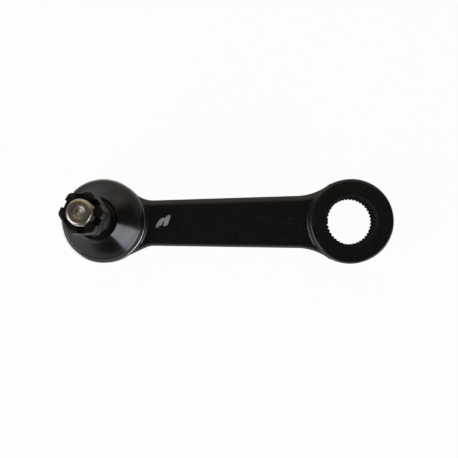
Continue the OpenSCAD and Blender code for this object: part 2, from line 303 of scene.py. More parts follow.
def linear(colour: str) -> tuple[float, float, float, float]:
    """An sRGB hex colour as linear numbers.

    Args:
        colour: Six hex digits after a #.

    Returns:
        Linear red, green and blue, and an alpha of 1.
    """
    parts = [int(colour[i : i + 2], 16) / 255 for i in (1, 3, 5)]
    red, green, blue = (c / 12.92 if c <= 0.04045 else ((c + 0.055) / 1.055) ** 2.4 for c in parts)
    return (red, green, blue, 1.0)


def add_node(tree: bpy.types.NodeTree, kind: str, inputs: dict | None = None, **settings: object) -> bpy.types.Node:
    """Adds a shader node with its settings, input values and links.

    Args:
        tree: The node tree.
        kind: The node's type name.
        inputs: Values, or output sockets to link, by input name or number.
        **settings: The node's own properties.

    Returns:
        The new node.
    """
    node = tree.nodes.new(kind)
    for key, value in settings.items():
        setattr(node, key, value)
    for key, value in (inputs or {}).items():
        if isinstance(value, bpy.types.NodeSocket):
            tree.links.new(value, node.inputs[key])
        else:
            node.inputs[key].default_value = value
    return node


def new_material(name: str) -> tuple[bpy.types.Material, bpy.types.NodeTree, bpy.types.Node, bpy.types.Node]:
    """A material with only its shader in it.

    Args:
        name: The finish's name.

    Returns:
        The material, its node tree, its Principled shader and a Texture Coordinate node.
    """
    material = bpy.data.materials.new(name)
    material.use_nodes = True
    tree = material.node_tree
    shader = tree.nodes["Principled BSDF"]
    return material, tree, shader, add_node(tree, "ShaderNodeTexCoord")


def wear(obj: Obj, material: bpy.types.Material) -> Obj:
    """Gives a piece one finish all over.

    Args:
        obj: The piece.
        material: Its finish.

    Returns:
        The same object.
    """
    obj.data.materials.clear()
    obj.data.materials.append(material)
    return obj


@dataclass(frozen=True)
class ForgingPaint:
    """Black baked enamel, dipped over a shot-blasted forging.

    The blasted scale shows through the film as a fine pebble, so its gloss breaks up into small glints.
    """

    name: str = "black_enamel_on_forging"
    paint: str = "#080705"
    dust: str = "#14110d"
    specular: float = 0.45
    speck: str = "#35312b"
    speck_mm: float = 0.9
    dab: str = "#a6acaa"
    roughness: float = 0.3
    pebble_mm: float = 0.8
    pebble_depth_mm: float = 0.06
    wave_mm: float = 9.0
    wave_depth_mm: float = 0.10
    dabs: tuple[tuple[float, float, float], ...] = ((-120.6, -0.6, 50.0), (-116.6, 0.5, 68.0))
    dab_half_mm: tuple[float, float] = (4.4, 1.75)

    def build(self) -> bpy.types.Material:
        """Returns the material."""
        material, tree, shader, place_on = new_material(self.name)
        shader.inputs["Specular IOR Level"].default_value = self.specular
        at = place_on.outputs["Object"]
        pebble = add_node(
            tree,
            "ShaderNodeTexNoise",
            {"Vector": at, "Scale": 1 / (self.pebble_mm * MM), "Detail": 3.0, "Roughness": 0.6},
        )
        wave = add_node(
            tree,
            "ShaderNodeTexNoise",
            {"Vector": at, "Scale": 1 / (self.wave_mm * MM), "Detail": 1.0},
        )
        dust = add_node(
            tree,
            "ShaderNodeTexNoise",
            {"Vector": at, "Scale": 1 / (14 * MM), "Detail": 5.0, "Roughness": 0.7},
        )
        dusty = add_node(
            tree,
            "ShaderNodeMapRange",
            {"Value": dust.outputs[0], "From Min": 0.48, "From Max": 0.75, "To Max": 0.5},
        )
        film = add_node(
            tree,
            "ShaderNodeMix",
            {0: dusty.outputs[0], 6: linear(self.paint), 7: linear(self.dust)},
            data_type="RGBA",
        )
        grit = add_node(tree, "ShaderNodeTexNoise", {"Vector": at, "Scale": 1 / (self.speck_mm * MM), "Detail": 1.0})
        specks = add_node(
            tree,
            "ShaderNodeMapRange",
            {"Value": grit.outputs[0], "From Min": 0.64, "From Max": 0.8},
        )
        specked = add_node(
            tree,
            "ShaderNodeMix",
            {0: specks.outputs[0], 6: film.outputs[2], 7: linear(self.speck)},
            data_type="RGBA",
        )
        dabbed = self.dab_mask(tree, at)
        marked = add_node(
            tree,
            "ShaderNodeMix",
            {0: dabbed, 6: specked.outputs[2], 7: linear(self.dab)},
            data_type="RGBA",
        )
        tree.links.new(marked.outputs[2], shader.inputs["Base Color"])
        gloss = add_node(
            tree,
            "ShaderNodeMapRange",
            {
                "Value": pebble.outputs[0],
                "From Min": 0.3,
                "From Max": 0.7,
                "To Min": self.roughness - 0.06,
                "To Max": self.roughness + 0.08,
            },
        )
        tree.links.new(gloss.outputs[0], shader.inputs["Roughness"])
        swell = add_node(
            tree,
            "ShaderNodeBump",
            {"Height": wave.outputs[0], "Distance": self.wave_depth_mm * MM, "Strength": 1.0},
        )
        grain = add_node(
            tree,
            "ShaderNodeBump",
            {
                "Height": pebble.outputs[0],
                "Distance": self.pebble_depth_mm * MM,
                "Strength": 1.0,
                "Normal": swell.outputs[0],
            },
        )
        tree.links.new(grain.outputs[0], shader.inputs["Normal"])
        return material

    def dab_mask(self, tree: bpy.types.NodeTree, at: bpy.types.NodeSocket) -> bpy.types.NodeSocket:
        """Where the inspector's brush touched the shank: short ragged smears on its upper face.

        Args:
            tree: The tree that gets the nodes.
            at: The place on the arm.

        Returns:
            A socket that is 1 under the dab and 0 elsewhere.
        """
        ragged = add_node(
            tree,
            "ShaderNodeTexNoise",
            {"Vector": at, "Scale": 1 / (1.6 * MM), "Detail": 3.0, "Roughness": 0.6},
        )
        total = None
        for x, y, turn in self.dabs:
            local = add_node(
                tree,
                "ShaderNodeMapping",
                {
                    "Vector": at,
                    "Location": (x * MM, y * MM, 8.25 * MM),
                    "Rotation": (0, 0, math.radians(turn)),
                    "Scale": (self.dab_half_mm[0] * MM, self.dab_half_mm[1] * MM, 3 * MM),
                },
                vector_type="TEXTURE",
            )
            out = add_node(tree, "ShaderNodeVectorMath", {0: local.outputs[0]}, operation="LENGTH")
            edge = add_node(
                tree,
                "ShaderNodeMath",
                {0: ragged.outputs[0], 1: out.outputs["Value"]},
                operation="SUBTRACT",
            )
            smear = add_node(
                tree,
                "ShaderNodeMapRange",
                {"Value": edge.outputs[0], "From Min": -0.42, "From Max": -0.26},
            )
            total = smear.outputs[0] if total is None else add_node(
                tree,
                "ShaderNodeMath",
                {0: total, 1: smear.outputs[0]},
                operation="MAXIMUM",
            ).outputs[0]
        return total


@dataclass(frozen=True)
class BroachedBore:
    """The cut serrations: a thin dry film of the same enamel over steel, dull, with fine cutting lines along them."""

    film: str = "#171716"
    bare: str = "#55524e"
    roughness: float = 0.66
    line_mm: float = 0.5
    line_depth_mm: float = 0.03

    def build(self) -> bpy.types.Material:
        """Returns the material."""
        material, tree, shader, place_on = new_material("broached_steel_thin_enamel")
        shader.inputs["Specular IOR Level"].default_value = 0.12
        at = place_on.outputs["Object"]
        stretched = add_node(tree, "ShaderNodeMapping", {"Vector": at, "Scale": (1.0, 1.0, 0.12)})
        lines = add_node(
            tree,
            "ShaderNodeTexNoise",
            {"Vector": stretched.outputs[0], "Scale": 1 / (self.line_mm * MM), "Detail": 3.0},
        )
        rubbed = add_node(
            tree,
            "ShaderNodeMapRange",
            {"Value": lines.outputs[0], "From Min": 0.55, "From Max": 0.8},
        )
        tone = add_node(
            tree,
            "ShaderNodeMix",
            {0: rubbed.outputs[0], 6: linear(self.film), 7: linear(self.bare)},
            data_type="RGBA",
        )
        tree.links.new(tone.outputs[2], shader.inputs["Base Color"])
        gloss = add_node(
            tree,
            "ShaderNodeMapRange",
            {"Value": lines.outputs[0], "To Min": self.roughness - 0.08, "To Max": self.roughness + 0.08},
        )
        tree.links.new(gloss.outputs[0], shader.inputs["Roughness"])
        bump = add_node(
            tree,
            "ShaderNodeBump",
            {"Height": lines.outputs[0], "Distance": self.line_depth_mm * MM, "Strength": 1.0},
        )
        tree.links.new(bump.outputs[0], shader.inputs["Normal"])
        return material


@dataclass(frozen=True)
class BootRubber:
    """Black chloroprene rubber, compression moulded: smooth and semi-gloss, with a grey bloom in patches."""

    rubber: str = "#0d0b09"
    bloom: str = "#241d16"
    roughness: float = 0.17
    grain_mm: float = 0.7
    grain_depth_mm: float = 0.004

    def build(self) -> bpy.types.Material:
        """Returns the material."""
        material, tree, shader, place_on = new_material("moulded_boot_rubber")
        at = place_on.outputs["Object"]
        patches = add_node(
            tree,
            "ShaderNodeTexNoise",
            {"Vector": at, "Scale": 1 / (11 * MM), "Detail": 4.0, "Roughness": 0.6},
        )
        bloom = add_node(
            tree,
            "ShaderNodeMapRange",
            {"Value": patches.outputs[0], "From Min": 0.45, "From Max": 0.8, "To Max": 0.5},
        )
        skin = add_node(
            tree,
            "ShaderNodeMix",
            {0: bloom.outputs[0], 6: linear(self.rubber), 7: linear(self.bloom)},
            data_type="RGBA",
        )
        tree.links.new(skin.outputs[2], shader.inputs["Base Color"])
        gloss = add_node(
            tree,
            "ShaderNodeMapRange",
            {
                "Value": patches.outputs[0],
                "From Min": 0.3,
                "From Max": 0.7,
                "To Min": self.roughness - 0.03,
                "To Max": self.roughness + 0.06,
            },
        )
        tree.links.new(gloss.outputs[0], shader.inputs["Roughness"])
        grain = add_node(
            tree,
            "ShaderNodeTexNoise",
            {"Vector": at, "Scale": 1 / (self.grain_mm * MM), "Detail": 2.0},
        )
        bump = add_node(
            tree,
            "ShaderNodeBump",
            {"Height": grain.outputs[0], "Distance": self.grain_depth_mm * MM, "Strength": 1.0},
        )
        tree.links.new(bump.outputs[0], shader.inputs["Normal"])
        return material


@dataclass(frozen=True)
class Steel:
    """A steel surface: its colour, how it reflects, and the marks that its making left."""

    name: str
    colour: str
    shade: str
    roughness: float = 0.28
    metallic: float = 1.0
    mottle_mm: float = 4.0
    grain_mm: float = 0.5
    grain_depth_mm: float = 0.01
    lathe_mm: float = 0.0
    lathe_depth_mm: float = 0.01
    frame_turn: tuple[float, float, float] = (0.0, 0.0, 0.0)
    frame_at: tuple[float, float, float] = (0.0, 0.0, 0.0)

    def build(self) -> bpy.types.Material:
        """Returns the material."""
        material, tree, shader, place_on = new_material(self.name)
        at = place_on.outputs["Object"]
        shader.inputs["Metallic"].default_value = self.metallic
        mottle = add_node(
            tree,
            "ShaderNodeTexNoise",
            {"Vector": at, "Scale": 1 / (self.mottle_mm * MM), "Detail": 5.0, "Roughness": 0.65},
        )
        tone = add_node(
            tree,
            "ShaderNodeMapRange",
            {"Value": mottle.outputs[0], "From Min": 0.35, "From Max": 0.7},
        )
        colour = add_node(
            tree,
            "ShaderNodeMix",
            {0: tone.outputs[0], 6: linear(self.colour), 7: linear(self.shade)},
            data_type="RGBA",
        )
        tree.links.new(colour.outputs[2], shader.inputs["Base Color"])
        gloss = add_node(
            tree,
            "ShaderNodeMapRange",
            {
                "Value": mottle.outputs[0],
                "From Min": 0.3,
                "From Max": 0.7,
                "To Min": self.roughness - 0.04,
                "To Max": self.roughness + 0.08,
            },
        )
        tree.links.new(gloss.outputs[0], shader.inputs["Roughness"])
        grain = add_node(
            tree,
            "ShaderNodeTexNoise",
            {"Vector": at, "Scale": 1 / (self.grain_mm * MM), "Detail": 2.0},
        )
        bump = add_node(
            tree,
            "ShaderNodeBump",
            {"Height": grain.outputs[0], "Distance": self.grain_depth_mm * MM, "Strength": 1.0},
        )
        if self.lathe_mm:
            turned = add_node(
                tree,
                "ShaderNodeMapping",
                {"Vector": at, "Location": self.frame_at, "Rotation": self.frame_turn},
                vector_type="TEXTURE",
            )
            rings = add_node(
                tree,
                "ShaderNodeTexWave",
                {"Vector": turned.outputs[0], "Scale": 0.314 / (self.lathe_mm * MM), "Distortion": 0.6},
                wave_type="RINGS",
                rings_direction="SPHERICAL",
            )
            bump = add_node(
                tree,
                "ShaderNodeBump",
                {
                    "Height": rings.outputs[1],
                    "Distance": self.lathe_depth_mm * MM,
                    "Strength": 1.0,
                    "Normal": bump.outputs[0],
                },
            )
        tree.links.new(bump.outputs[0], shader.inputs["Normal"])
        return material


@dataclass(frozen=True)
class SeatResin:
    """Acetal resin, injection moulded: an off-white, waxy plastic that greases itself."""

    resin: str = "#d8cfb8"
    roughness: float = 0.42

    def build(self) -> bpy.types.Material:
        """Returns the material."""
        material, tree, shader, place_on = new_material("moulded_seat_acetal")
        shader.inputs["Subsurface Weight"].default_value = 0.1
        shader.inputs["Subsurface Scale"].default_value = 0.002
        flow = add_node(
            tree,
            "ShaderNodeTexNoise",
            {"Vector": place_on.outputs["Object"], "Scale": 1 / (6 * MM), "Detail": 3.0},
        )
        tint = add_node(
            tree,
            "ShaderNodeMix",
            {0: flow.outputs[0], 6: linear(self.resin), 7: linear("#c9bea4")},
            data_type="RGBA",
        )
        tree.links.new(tint.outputs[2], shader.inputs["Base Color"])
        gloss = add_node(
            tree,
            "ShaderNodeMapRange",
            {"Value": flow.outputs[0], "To Min": self.roughness - 0.05, "To Max": self.roughness + 0.05},
        )
        tree.links.new(gloss.outputs[0], shader.inputs["Roughness"])
        return material


@dataclass
class ArmForging:
    """The arm: shank, eye with its serrated taper bore, and the ball housing with its bored socket."""

    length: float = 156.0
    shank_thick: float = 16.5
    shank_w_ball: float = 27.6
    shank_w_eye: float = 35.0
    shank_shift: float = 1.2
    edge_r: float = 3.0
    draft: float = 4.0
    plan_r_ball: tuple[float, float] = (18.0, 12.0)
    runout_ball: tuple[float, float] = (43.0, 25.0)
    plan_r_eye: float = 35.0
    runout_eye: float = 41.0
    dive: float = 0.4
    eye_fillet: float = 1.4
    housing_fillet: float = 2.4
    eye_r: float = 27.05
    housing_r: float = 26.3
    eye_half: float = 14.0
    eye_edge: float = 1.6
    housing_edge: float = 2.0
    ball_z: float = 7.5
    shoulder_h: float = 7.5
    spigot_r: float = 21.2
    spigot_h: float = 5.0
    spigot_groove: float = 0.9
    socket_r: float = 17.5
    seat_top_h: float = 9.3
    cover_r: float = 19.4
    cover_top_h: float = -16.5
    cover_t: float = 2.4
    lip_w: float = 1.3
    lip_h: float = 2.2
    mouth_slope: float = math.tan(math.radians(20))
    neck_room: float = 9.25
    tip_r: float = 14.65
    taper: float = 0.5 / 16
    places: int = 40
    groove: float = 0.9
    mouth: float = 0.5
    flash_half: float = 0.6
    flash_out: float = 0.35
    steep: float = 0.5
    voxel: float = 0.6

    def half_width(self, x: float, fuller: bool) -> float:
        """Distance of one of the shank's sides from the arm's line, at the parting line.

        Args:
            x: Place along the arm, in millimetres from the bore's axis.
            fuller: Whether it is the -Y side, towards which the shank is shifted.

        Returns:
            The distance, with the concave arcs and the flanks that run out onto the raised ends.
        """
        half_ball = self.shank_w_ball / 2 + (self.shank_shift if fuller else -self.shank_shift)
        half_eye = self.shank_w_eye / 2
        slope = math.atan((half_eye - half_ball) / self.length)
        side = math.radians(90) + slope
        width = half_ball + (x + self.length) * math.tan(slope)
        ends = (
            (-self.length, half_ball, self.housing_r, self.plan_r_ball[fuller], 90 - self.runout_ball[fuller]),
            (0.0, half_eye, self.eye_r, self.plan_r_eye, 90 + self.runout_eye),
        )
        for centre_x, half, end_r, arc_r, facing in ends:
            flank = math.radians(facing)
            flank_off, side_off = end_r - self.dive + arc_r, half * math.cos(slope) + arc_r
            turn = math.sin(side - flank)
            arc_x = centre_x + (flank_off * math.sin(side) - side_off * math.sin(flank)) / turn
            arc_y = (side_off * math.cos(flank) - flank_off * math.cos(side)) / turn
            foot_x = arc_x - arc_r * math.cos(side)
            leave_x = arc_x - arc_r * math.cos(flank)
            inward = 1 if centre_x < 0 else -1
            if (x - foot_x) * inward < 0 <= (x - leave_x) * inward:
                width = arc_y - math.sqrt(arc_r**2 - (x - arc_x) ** 2)
            elif (x - leave_x) * inward < 0:
                met_x = centre_x + (end_r - self.dive) * math.cos(flank)
                held = max(x, met_x) if inward > 0 else min(x, met_x)
                width = (end_r - self.dive - (held - centre_x) * math.cos(flank)) / math.sin(flank)
        return width

    def bar(self, name: str, thick: float, edge: float, inset: float) -> Obj:
        """A bar with the shank's plan: a box cut into stations, each drawn in to its width.

        Args:
            name: The bar's name.
            thick: Its thickness.
            edge: Rounding of its long edges, or 0.
            inset: How far its sides lie inside the shank's.

        Returns:
            The bar.
        """
        start, stop = -self.length + 8.0, -8.0
        deselect_all()
        bpy.ops.mesh.primitive_cube_add(
            size=1,
            location=((start + stop) / 2 * MM, 0, 0),
            scale=((stop - start) * MM, 2 * MM, thick * MM),
        )
        piece = begin(name)
        stations = [start + (stop - start) * i / 88 for i in range(89)]
        with editing(piece):
            for x in stations[1:-1]:
                bpy.ops.mesh.select_all(action="SELECT")
                bpy.ops.mesh.bisect(plane_co=(x * MM, 0, 0), plane_no=(1, 0, 0))
            levels = {
                self.flash_half: 0.0,
                2 * self.flash_half: self.flash_out,
                thick / 2: (thick / 2) * math.tan(math.radians(self.draft)),
            }
            for level, side in itertools.product(list(levels)[:2], (-1, 1)):
                bpy.ops.mesh.select_all(action="SELECT")
                bpy.ops.mesh.bisect(plane_co=(0, 0, side * level * MM), plane_no=(0, 0, 1))
            for x in stations:
                for fuller, level in itertools.product((False, True), levels):
                    wide = self.half_width(x, fuller) - inset - levels[level]
                    select_points(
                        piece,
                        lambda p: abs(p.x - x) < 0.01 and abs(abs(p.z) - level) < 0.01 and (p.y < 0) == fuller,
                    )
                    bpy.ops.transform.resize(value=(1, wide, 1), center_override=(0, 0, 0))
            if edge:
                select_points(piece, lambda p: abs(p.z) > 0.1 and start < p.x < stop)
                bpy.ops.mesh.select_mode(type="EDGE")
                self.select_long_edges(piece, thick)
                bpy.ops.mesh.bevel(offset=edge * MM, segments=4, affect="EDGES")
            bpy.ops.mesh.select_all(action="SELECT")
            bpy.ops.mesh.normals_make_consistent(inside=False)
        return piece

    @staticmethod
    def select_long_edges(piece: Obj, thick: float) -> None:
        """Selects the four long edges of a bar in edit mode.

        Args:
            piece: The bar.
            thick: Its thickness.
        """
        mesh = bmesh.from_edit_mesh(piece.data)
        for edge in mesh.edges:
            a, b = (v.co / MM for v in edge.verts)
            along = abs(a.x - b.x) > 0.1 and a.y * b.y > 0
            edge.select = along and min(abs(a.z), abs(b.z)) > thick / 2 - 0.01
        bmesh.update_edit_mesh(piece.data)

    def raised_end(self, name: str, x: float, radius: float, edge: float, top: float) -> Obj:
        """One raised end of the forging, with drafted sides that meet at the parting line.

        Args:
            name: The end's name.
            x: Place of its axis.
            radius: Its radius at the parting line.
            edge: Rounding of its rims.
            top: Height of its upper face.

        Returns:
            The end.
        """
        slant = math.tan(math.radians(self.draft / 2))
        low = radius - self.eye_half * slant
        high = radius - top * slant
        profile = [(0, -self.eye_half)]
        profile += arc((low - edge, edge - self.eye_half), edge, -90, 0)
        profile += [
            (radius - self.flash_out, -2 * self.flash_half),
            (radius, -self.flash_half),
            (radius, self.flash_half),
            (radius - self.flash_out, 2 * self.flash_half),
        ]
        profile += arc((high - edge, top - edge), edge, 0, 90)
        profile += [(0, top)]
        return place(turn_profile(name, profile, 128), Matrix.Translation((x * MM, 0, 0)))

    def step_fillet_ring(self, name: str, x: float, radius: float, round_r: float, upper: bool) -> Obj:
        """The fillet between one face of the shank and a raised end, kept to the shank's own width.

        Args:
            name: The fillet's name.
            x: Place of the raised end's axis.
            radius: The raised end's radius at the parting line.
            round_r: The fillet's own radius.
            upper: Whether it lies on the upper face.

        Returns:
            The fillet.
        """
        wall = radius - round_r * math.tan(math.radians(self.draft))
        face = self.shank_thick / 2
        profile = [(wall - 2, face - 2), (wall + round_r, face - 2)]
        profile += arc((wall + round_r, face + round_r), round_r, 270, 180)
        profile += [(wall - 2, face + round_r)]
        ring = place(turn_profile(name, profile, 128, ring=True), Matrix.Translation((x * MM, 0, 0)))
        if not upper:
            pick(ring)
            bpy.ops.transform.mirror(constraint_axis=(False, False, True), orient_type="GLOBAL")
            bpy.ops.object.transform_apply(location=True, rotation=True, scale=True)
            with editing(ring):
                bpy.ops.mesh.select_all(action="SELECT")
                bpy.ops.mesh.normals_make_consistent(inside=False)
        inset = self.edge_r + 0.3
        keep = self.bar(f"{name}_keep", self.shank_thick + 4 * round_r, 0, inset)
        return combine(ring, keep, Cut.KEEP_COMMON)

    def blank(self) -> Obj:
        """The forging before machining: its parts run into each other and are softened as hammered steel is.

        Returns:
            The blank as one closed skin.
        """
        parts = [
            self.bar("arm_forging", self.shank_thick, self.edge_r, 0),
            self.raised_end("eye_blank", 0, self.eye_r, self.eye_edge, self.eye_half),
            self.raised_end(
                "housing_blank", -self.length, self.housing_r, self.housing_edge, self.ball_z + self.shoulder_h
            ),
        ]
        for end, x, radius, round_r in (
            ("eye", 0.0, self.eye_r, self.eye_fillet),
            ("housing", -self.length, self.housing_r, self.housing_fillet),
        ):
            for upper in (True, False):
                parts.append(self.step_fillet_ring(f"{end}_step_{upper}", x, radius, round_r, upper))
        blank = join(parts)
        modify(blank, "REMESH", mode="VOXEL", voxel_size=self.voxel * MM)
        return modify(blank, "SMOOTH", factor=0.5, iterations=3)

    def spigot(self) -> Obj:
        """The turned spigot that the boot's foot grips, with its groove."""
        low, high = self.shoulder_h + 1.2, self.shoulder_h + 3.3
        top = self.shoulder_h + self.spigot_h
        profile = [
            (0, 0),
            (self.spigot_r, 0),
            (self.spigot_r, low),
            (self.spigot_r - self.spigot_groove, low),
            (self.spigot_r - self.spigot_groove, high),
            (self.spigot_r, high),
            (self.spigot_r, top - 1),
            (self.spigot_r - 1, top),
            (0, top),
        ]
        return place(turn_profile("spigot", profile, 128), self.at_ball())

    def at_ball(self) -> Matrix:
        """The place of the ball's centre, in metres."""
        return Matrix.Translation((-self.length * MM, 0, self.ball_z * MM))

    def socket_tool(self) -> Obj:
        """What is bored out of the housing: the cover's recess under its rolled lip, the socket and the mouth."""
        floor = -self.eye_half - self.ball_z
        recess = self.cover_r + 0.1
        roll = self.lip_h / 2
        mouth = self.neck_room
        top = self.shoulder_h + self.spigot_h
        profile = [(0, floor - 1), (recess - self.lip_w + roll, floor - 1)]
        profile += arc((recess - self.lip_w + roll, floor + roll), roll, 270, 180)
        profile += [
            (recess - self.lip_w, self.cover_top_h - self.cover_t - 0.1),
            (recess, self.cover_top_h - self.cover_t - 0.1),
            (recess, self.cover_top_h),
            (self.socket_r, self.cover_top_h),
            (self.socket_r, self.seat_top_h),
            (mouth + self.seat_top_h * self.mouth_slope, self.seat_top_h),
            (mouth + (top + 1) * self.mouth_slope, top + 1),
            (0, top + 1),
        ]
        return place(turn_profile("socket_tool", profile, 128), self.at_ball())

    def bore_tool(self) -> Obj:
        """The broach for the eye: a tapered plug with a sharp tooth for each groove, but none at the blind place.

        Returns:
            The plug, with a chamfer for each mouth.
        """
        fine = 10
        count = self.places * fine
        half = self.eye_half + 1
        deselect_all()
        bpy.ops.mesh.primitive_circle_add(vertices=count, radius=self.tip_r * MM, location=(0, 0, -half * MM))
        tool = begin("bore_tool")
        with editing(tool):
            for step in (0, 1, 2):
                reach = (self.tip_r + self.groove * (1 - step / 3)) / self.tip_r
                self.select_teeth(tool, fine, step)
                bpy.ops.transform.resize(value=(reach, reach, 1), center_override=(0, 0, -half * MM))
            bpy.ops.mesh.select_all(action="SELECT")
            bpy.ops.mesh.edge_face_add()
            bpy.ops.mesh.extrude_region_move(TRANSFORM_OT_translate={"value": (0, 0, 2 * half * MM)})
            wide = (self.tip_r + half * self.taper) / self.tip_r
            bpy.ops.transform.resize(value=(wide, wide, 1), center_override=(0, 0, half * MM))
            select_points(tool, lambda p: p.z < 0)
            narrow = (self.tip_r - half * self.taper) / self.tip_r
            bpy.ops.transform.resize(value=(narrow, narrow, 1), center_override=(0, 0, -half * MM))
            bpy.ops.mesh.select_all(action="SELECT")
            bpy.ops.mesh.normals_make_consistent(inside=False)
        depth = self.groove + self.mouth
        for side in (-1, 1):
            face = side * self.eye_half
            brim = self.tip_r + face * self.taper + depth
            inner, outer = face - side * depth, face + side
            ends = sorted([(inner, brim - depth), (outer, brim + 1)])
            cone = drill("mouth_tool", ends[0][1], ends[0][0], ends[1][0], ends[1][1])
            combine(tool, cone, Cut.WELD)
        return tool

    def select_teeth(self, tool: Obj, fine: int, step: int) -> None:
        """Selects the vertices of every tooth at one step from its tip.

        Args:
            tool: The circle in edit mode.
            fine: Vertices for each place round the circle.
            step: Steps from the tooth's tip.
        """
        count = self.places * fine
        mesh = bmesh.from_edit_mesh(tool.data)
        for vertex in mesh.verts:
            turn = round(math.atan2(vertex.co.y, vertex.co.x) / (2 * math.pi) * count) % count
            place_no, off = divmod(turn + fine // 2, fine)
            blind = place_no % self.places == self.places // 2
            vertex.select = not blind and abs(off - fine // 2) == step
        mesh.select_flush_mode()
        bmesh.update_edit_mesh(tool.data)

    def make(self, paint: bpy.types.Material, side_paint: bpy.types.Material, broached: bpy.types.Material) -> Obj:
        """Forges, machines and paints the arm.

        Args:
            paint: Its finish.
            side_paint: The duller film on the steep drafted sides.
            broached: The finish of the serrated bore.

        Returns:
            The finished arm.
        """
        arm = self.blank()
        combine(arm, self.spigot(), Cut.WELD)
        combine(arm, self.socket_tool(), Cut.REMOVE)
        combine(arm, self.bore_tool(), Cut.REMOVE)
        smooth(wear(arm, paint), 38)
        arm.data.materials.append(side_paint)
        arm.data.materials.append(broached)
        brim = self.tip_r + self.eye_half * self.taper + self.groove + self.mouth
        for face in arm.data.polygons:
            middle = face.center / MM
            if math.hypot(middle.x, middle.y) < brim - 0.02 and abs(middle.z) < self.eye_half - 0.02:
                face.material_index = 2
            elif abs(face.normal.z) < self.steep:
                face.material_index = 1
        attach(arm, Body.ARM.value)
        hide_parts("arm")
        return arm


